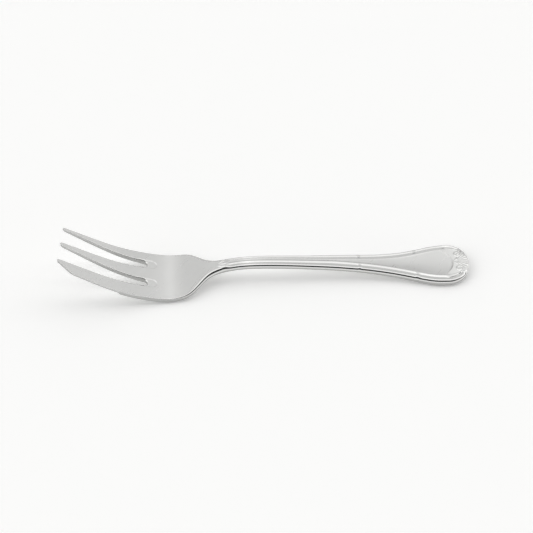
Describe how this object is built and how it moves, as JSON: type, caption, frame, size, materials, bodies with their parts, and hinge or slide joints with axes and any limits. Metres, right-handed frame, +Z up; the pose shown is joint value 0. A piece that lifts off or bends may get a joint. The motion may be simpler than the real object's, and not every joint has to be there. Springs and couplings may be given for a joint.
{
  "type": "pastry fork",
  "caption": "Steel pastry fork with slender tines, a wider notched cutting tine, a narrow shank and a thread-bordered handle with a small palmette.",
  "frame": {"origin": "on the table, under the middle of the fork's length and width, with the fork lying face up", "axes": "+Z up, -X towards the tine tips, +X towards the handle's end, cutting tine on the -Y side"},
  "size_m": [0.1509, 0.0236, 0.0222],
  "materials": {
    "steel": "satin upper face with polished beads and edges"
  },
  "bodies": {
    "root": {"fork": "steel"}
  },
  "joints": []
}
